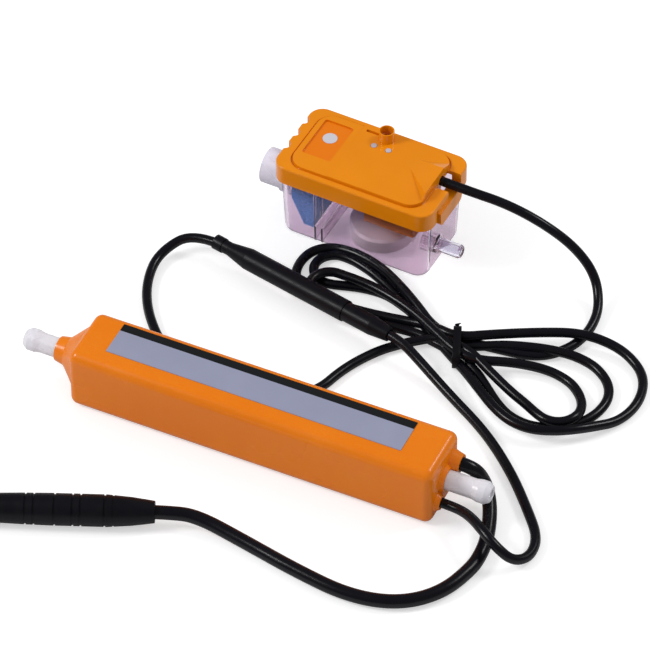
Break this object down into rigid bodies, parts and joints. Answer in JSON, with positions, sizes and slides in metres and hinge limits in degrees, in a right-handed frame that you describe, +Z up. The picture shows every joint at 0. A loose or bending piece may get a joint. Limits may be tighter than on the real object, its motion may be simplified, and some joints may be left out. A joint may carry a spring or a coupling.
{
  "type": "condensate pump",
  "caption": "Condensate pump for an air conditioner: a long coated pump block and a clear float chamber with an orange lid, joined by a plugged lead.",
  "frame": {"origin": "centre of the pump block's resting face", "axes": "+X along the pump block towards its discharge spigot, +Y towards the float chamber, +Z up"},
  "size_m": [0.2484, 0.2511, 0.0468],
  "materials": {
    "coat": "soft glossy vinyl",
    "label": "satin film",
    "case": "moulded",
    "spigot": "milky translucent",
    "silicone": "translucent",
    "brass": "turned",
    "nylon": "moulded",
    "winding": "enamelled wire",
    "steel": "machined",
    "spring": "drawn wire",
    "black_rubber": "matt",
    "black_plastic": "satin",
    "circuit_board": "lacquered",
    "clear": "clear moulded",
    "foam": "open-cell foam",
    "float": "moulded",
    "magnet": "sintered",
    "orange_plastic": "moulded",
    "silver_plastic": "polished",
    "sticker": "paper",
    "resin": "cast",
    "lead_jacket": "glossy vinyl"
  },
  "bodies": {
    "base": {"casing_coat": "coat", "rating_label": "label", "inner_case_base": "case", "inner_case_cover": "case", "discharge_spigot": "spigot", "suction_spigot": "spigot", "inlet_hose": "silicone", "outlet_hose": "silicone", "guide_tube": "brass", "coil_bobbin": "nylon", "coil_winding": "winding", "pole_rings": "steel", "magnet_yoke": "steel", "thermal_cutout": "black_plastic", "plunger_spring": "spring", "buffer_spring": "spring", "cylinder_body": "nylon", "cylinder_cap": "nylon", "piston_seals": "black_rubber", "outlet_valve_spring": "spring", "vibration_mounts": "black_rubber", "control_board": "circuit_board", "board_components": "black_plastic", "tank": "clear", "filter_block": "foam", "socket_collar": "black_plastic", "sensor_socket": "black_plastic", "contact_pins": "brass", "control_plug": "black_plastic", "plug_seal": "black_rubber", "power_connector": "black_plastic", "power_connector_pins": "brass", "power_lead": "lead_jacket", "control_lead": "lead_jacket", "sensor_lead_plug_end": "lead_jacket", "sensor_lead_hank": "lead_jacket", "hank_tie": "black_plastic"},
    "lid": {"lid": "orange_plastic", "lid_pins": "silver_plastic", "inspection_sticker": "sticker", "sensor_housing": "orange_plastic", "sensor_board": "circuit_board", "sensor_chips": "black_plastic", "potting_resin": "resin", "sensor_lead_tank_end": "lead_jacket"},
    "float": {"float_disc": "float", "float_magnet": "magnet"},
    "plunger": {"plunger": "steel", "piston_rod": "steel"},
    "inlet_valve": {"inlet_valve": "black_rubber"},
    "outlet_valve": {"outlet_valve": "black_rubber"}
  },
  "joints": [
    {"name": "lid_lift", "type": "slide", "parent": "base", "child": "lid", "axis": [0, 0, 1], "range_m": [0, 0.045]},
    {"name": "float_rise", "type": "slide", "parent": "base", "child": "float", "axis": [0, 0, 1], "range_m": [0, 0.01]},
    {"name": "plunger_stroke", "type": "slide", "parent": "base", "child": "plunger", "axis": [-1, 0, 0], "range_m": [0, 0.006], "stiffness_N_per_m": 300, "deforming": ["plunger_spring", "buffer_spring"]},
    {"name": "inlet_valve_lift", "type": "slide", "parent": "plunger", "child": "inlet_valve", "axis": [1, 0, 0], "range_m": [0, 0.0012]},
    {"name": "outlet_valve_lift", "type": "slide", "parent": "base", "child": "outlet_valve", "axis": [1, 0, 0], "range_m": [0, 0.0015], "stiffness_N_per_m": 60, "deforming": ["outlet_valve_spring"]}
  ]
}
